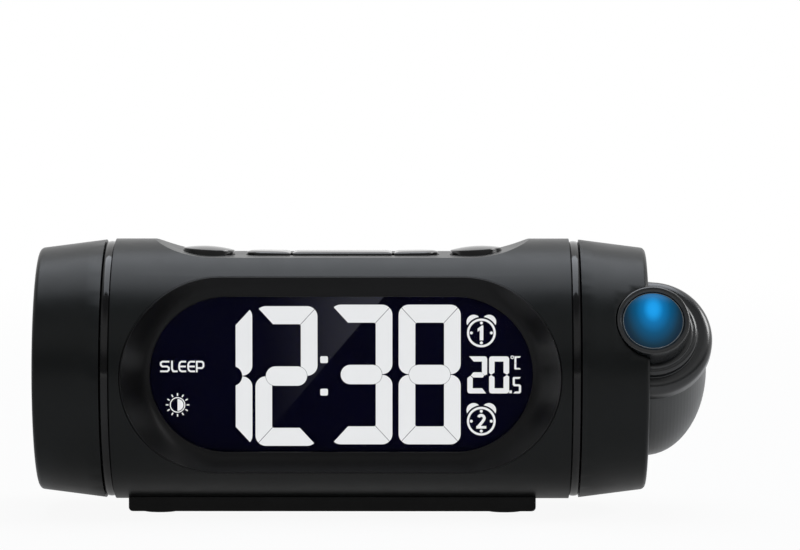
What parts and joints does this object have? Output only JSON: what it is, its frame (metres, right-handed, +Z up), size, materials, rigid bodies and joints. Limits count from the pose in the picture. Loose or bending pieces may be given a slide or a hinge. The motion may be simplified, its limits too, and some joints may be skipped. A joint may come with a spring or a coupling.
{
  "type": "projection alarm clock",
  "caption": "Barrel-shaped alarm clock on a low base, with an oval display, keys in a dished top, and a turning projector head on its right end.",
  "frame": {"origin": "on the table plane, under the middle of the barrel's axis", "axes": "+X along the barrel towards the projector, -Y to the front where the display faces, +Z up"},
  "size_m": [0.1952, 0.076, 0.0795],
  "materials": {
    "case_plastic": "satin black moulded plastic, fine texture",
    "base_plastic": "satin black moulded plastic",
    "gloss_black": "gloss black",
    "key_plastic": "gloss black keys",
    "dome_plastic": "satin dark grey",
    "barrel_plastic": "semi-gloss near black",
    "inner_plastic": "plain moulded",
    "rubber": "matt rubber",
    "window_clear": "clear smoked acrylic",
    "display_glass": "dark display glass",
    "lit_segments": "white lit segments",
    "diffuser": "milky acrylic",
    "lens_glass": "clear lens, lit blue from behind",
    "board": "green solder mask",
    "steel": "plated steel",
    "contact_metal": "plated spring metal",
    "magnet": "ferrite and steel",
    "cone_paper": "black paper cone",
    "heat_sink": "extruded aluminium",
    "cable_sleeve": "soft sleeve"
  },
  "bodies": {
    "case": {"main_case": "case_plastic", "rear_cover": "case_plastic", "base_stand": "base_plastic", "rubber_feet": "rubber", "coin_cell": "steel", "cell_contacts": "contact_metal", "bezel": "gloss_black", "display_window": "window_clear", "time_digits": "lit_segments", "lcd_panel": "display_glass", "lcd_frame": "inner_plastic", "backlight_diffuser": "diffuser", "backlight_lamps": "diffuser", "display_board": "board", "display_screws": "steel", "display_ribbon": "cable_sleeve", "main_board": "board", "board_parts": "inner_plastic", "main_board_screws": "steel", "key_board": "board", "key_switches": "inner_plastic", "key_board_screws": "steel", "left_cap": "case_plastic", "left_trim_ring": "gloss_black", "cap_screws": "steel", "speaker_basket": "steel", "speaker_cone": "cone_paper", "speaker_magnet": "magnet", "speaker_gasket": "rubber", "speaker_wires": "cable_sleeve", "right_trim_ring": "gloss_black", "spindle_bush": "inner_plastic", "friction_washer": "inner_plastic", "board_lead": "cable_sleeve", "dc_jack": "inner_plastic", "dc_jack_pin": "steel", "usb_port": "steel", "usb_tongue": "inner_plastic", "aerial_grommet": "rubber", "rear_screws": "steel", "base_screws": "steel"},
    "projector_head": {"projector_cap": "case_plastic", "projector_dome": "dome_plastic", "projector_barrel": "barrel_plastic", "thrust_washer": "inner_plastic", "spindle_clip": "steel", "condenser_lens": "lens_glass", "picture_slide": "inner_plastic", "lamp_board": "board", "heat_sink": "heat_sink", "projector_cable": "cable_sleeve"},
    "focus": {"focus_ring": "barrel_plastic"},
    "lens_carrier": {"lens_cell": "barrel_plastic", "projection_lens": "lens_glass"},
    "left_round": {"round_key_left": "key_plastic"},
    "right_round": {"round_key_right": "key_plastic"},
    "left_pill": {"pill_key_left": "key_plastic"},
    "snooze": {"snooze_key": "key_plastic"},
    "right_pill": {"pill_key_right": "key_plastic"},
    "battery_door": {"battery_cover": "base_plastic"}
  },
  "joints": [
    {"name": "projector_turn", "type": "hinge", "parent": "case", "child": "projector_head", "pos_m": [0.075, 0, 0.0415], "axis": [-1, 0, 0], "range_deg": [-25, 155]},
    {"name": "focus_turn", "type": "hinge", "parent": "projector_head", "child": "focus", "pos_m": [0.0893, -0.02673, 0.05512], "axis": [0, -0.891, 0.454], "range_deg": [-60, 60]},
    {"name": "lens_focus", "type": "slide", "parent": "projector_head", "child": "lens_carrier", "axis": [0, -0.891, 0.454], "range_m": [-0.00079, 0.00079]},
    {"name": "left_round_press", "type": "slide", "parent": "case", "child": "left_round", "axis": [-0.0556, 0, -0.9985], "range_m": [0, 0.0008], "stiffness_N_per_m": 500, "springref_m": -0.0006},
    {"name": "right_round_press", "type": "slide", "parent": "case", "child": "right_round", "axis": [0.0556, 0, -0.9985], "range_m": [0, 0.0008], "stiffness_N_per_m": 500, "springref_m": -0.0006},
    {"name": "left_pill_press", "type": "slide", "parent": "case", "child": "left_pill", "axis": [0, 0, -1], "range_m": [0, 0.0008], "stiffness_N_per_m": 500, "springref_m": -0.0006},
    {"name": "snooze_press", "type": "slide", "parent": "case", "child": "snooze", "axis": [0, 0, -1], "range_m": [0, 0.0008], "stiffness_N_per_m": 500, "springref_m": -0.0006},
    {"name": "right_pill_press", "type": "slide", "parent": "case", "child": "right_pill", "axis": [0, 0, -1], "range_m": [0, 0.0008], "stiffness_N_per_m": 500, "springref_m": -0.0006},
    {"name": "battery_door_turn", "type": "hinge", "parent": "case", "child": "battery_door", "pos_m": [0.0283, 0.0065, 0.0013], "axis": [0, 0, 1], "range_deg": [0, 40]}
  ],
  "couplings": [
    {"joint": "focus_turn", "follows": "lens_focus", "rad_per_m": 1315.8}
  ]
}
